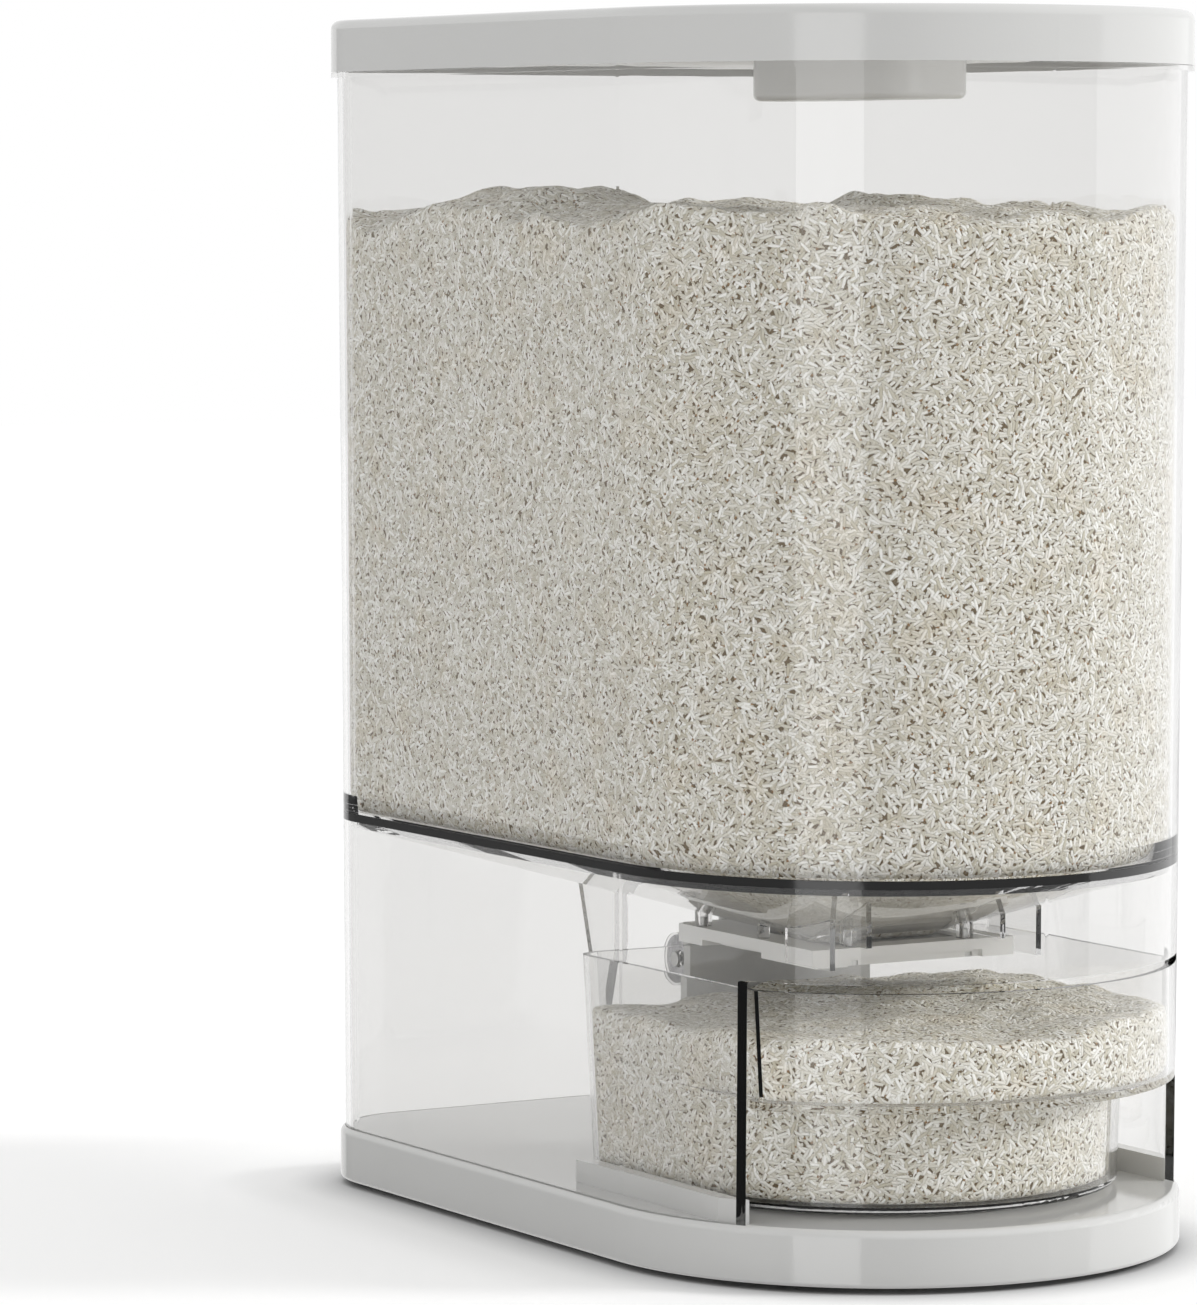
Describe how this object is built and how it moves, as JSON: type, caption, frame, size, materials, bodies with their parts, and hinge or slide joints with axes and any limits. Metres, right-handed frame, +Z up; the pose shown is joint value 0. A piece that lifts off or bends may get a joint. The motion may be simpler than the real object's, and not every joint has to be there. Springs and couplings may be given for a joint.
{
  "type": "rice dispenser",
  "caption": "Clear upright rice dispenser with a D-shaped plan, white base and lid, and a push-in drawer cup under a spring-closed shutter.",
  "frame": {"origin": "centre of the footprint on the surface that the feet stand on", "axes": "+Z up, -Y out of the rounded front where the cup pulls out, +X to the right seen from the front"},
  "size_m": [0.2022, 0.3138, 0.4],
  "materials": {
    "white_plastic": "gloss moulded",
    "clear_plastic": "clear moulded",
    "rice": "loose polished grains",
    "grey_plastic_light": "satin moulded",
    "grey_plastic_mid": "satin moulded",
    "rubber_dark": "matte",
    "rubber_black": "matte",
    "silicone": "matte translucent",
    "screw_steel": "zinc plated",
    "spring_steel": "bright rolled",
    "case_plastic": "satin translucent",
    "sachet_paper": "plain paper"
  },
  "bodies": {
    "housing": {"base": "white_plastic", "foot_front_left": "rubber_dark", "foot_front_right": "rubber_dark", "foot_rear_left": "rubber_dark", "foot_rear_right": "rubber_dark", "lower_shell": "clear_plastic", "body_seal": "rubber_black", "tank": "clear_plastic", "tank_rice": "rice", "shutter_frame": "grey_plastic_light", "frame_screws": "screw_steel", "spring_strip": "spring_steel"},
    "shutter": {"shutter_plate": "grey_plastic_mid", "push_paddle": "grey_plastic_mid", "paddle_screws": "screw_steel", "reel_pin": "screw_steel"},
    "reel": {"spring_reel": "clear_plastic", "return_spring": "spring_steel"},
    "cup": {"drawer_cup": "clear_plastic", "cup_rice": "rice"},
    "lid": {"lid_cover": "white_plastic", "lid_liner": "white_plastic", "lid_gasket": "silicone", "case_holder": "case_plastic"},
    "case": {"repellent_case": "case_plastic", "repellent_sachet": "sachet_paper"}
  },
  "joints": [
    {"name": "shutter_slide", "type": "slide", "parent": "housing", "child": "shutter", "axis": [0, 1, 0], "range_m": [0, 0.033], "stiffness_N_per_m": 20, "springref_m": -0.2, "deforming": ["spring_strip"]},
    {"name": "reel_spin", "type": "hinge", "parent": "shutter", "child": "reel", "pos_m": [-0.0277, 0.0202, 0.0865], "axis": [1, 0, 0], "range_deg": [0, 236.4]},
    {"name": "cup_slide", "type": "slide", "parent": "shutter", "child": "cup", "axis": [0, -1, 0], "range_m": [-0.004, 0.16]},
    {"name": "lid_lift", "type": "slide", "parent": "housing", "child": "lid", "axis": [0, 0, 1], "range_m": [0, 0.06]},
    {"name": "case_pull", "type": "slide", "parent": "lid", "child": "case", "axis": [0, 0, -1], "range_m": [0, 0.02]}
  ],
  "couplings": [
    {"joint": "reel_spin", "follows": "shutter_slide", "rad_per_m": 125}
  ]
}
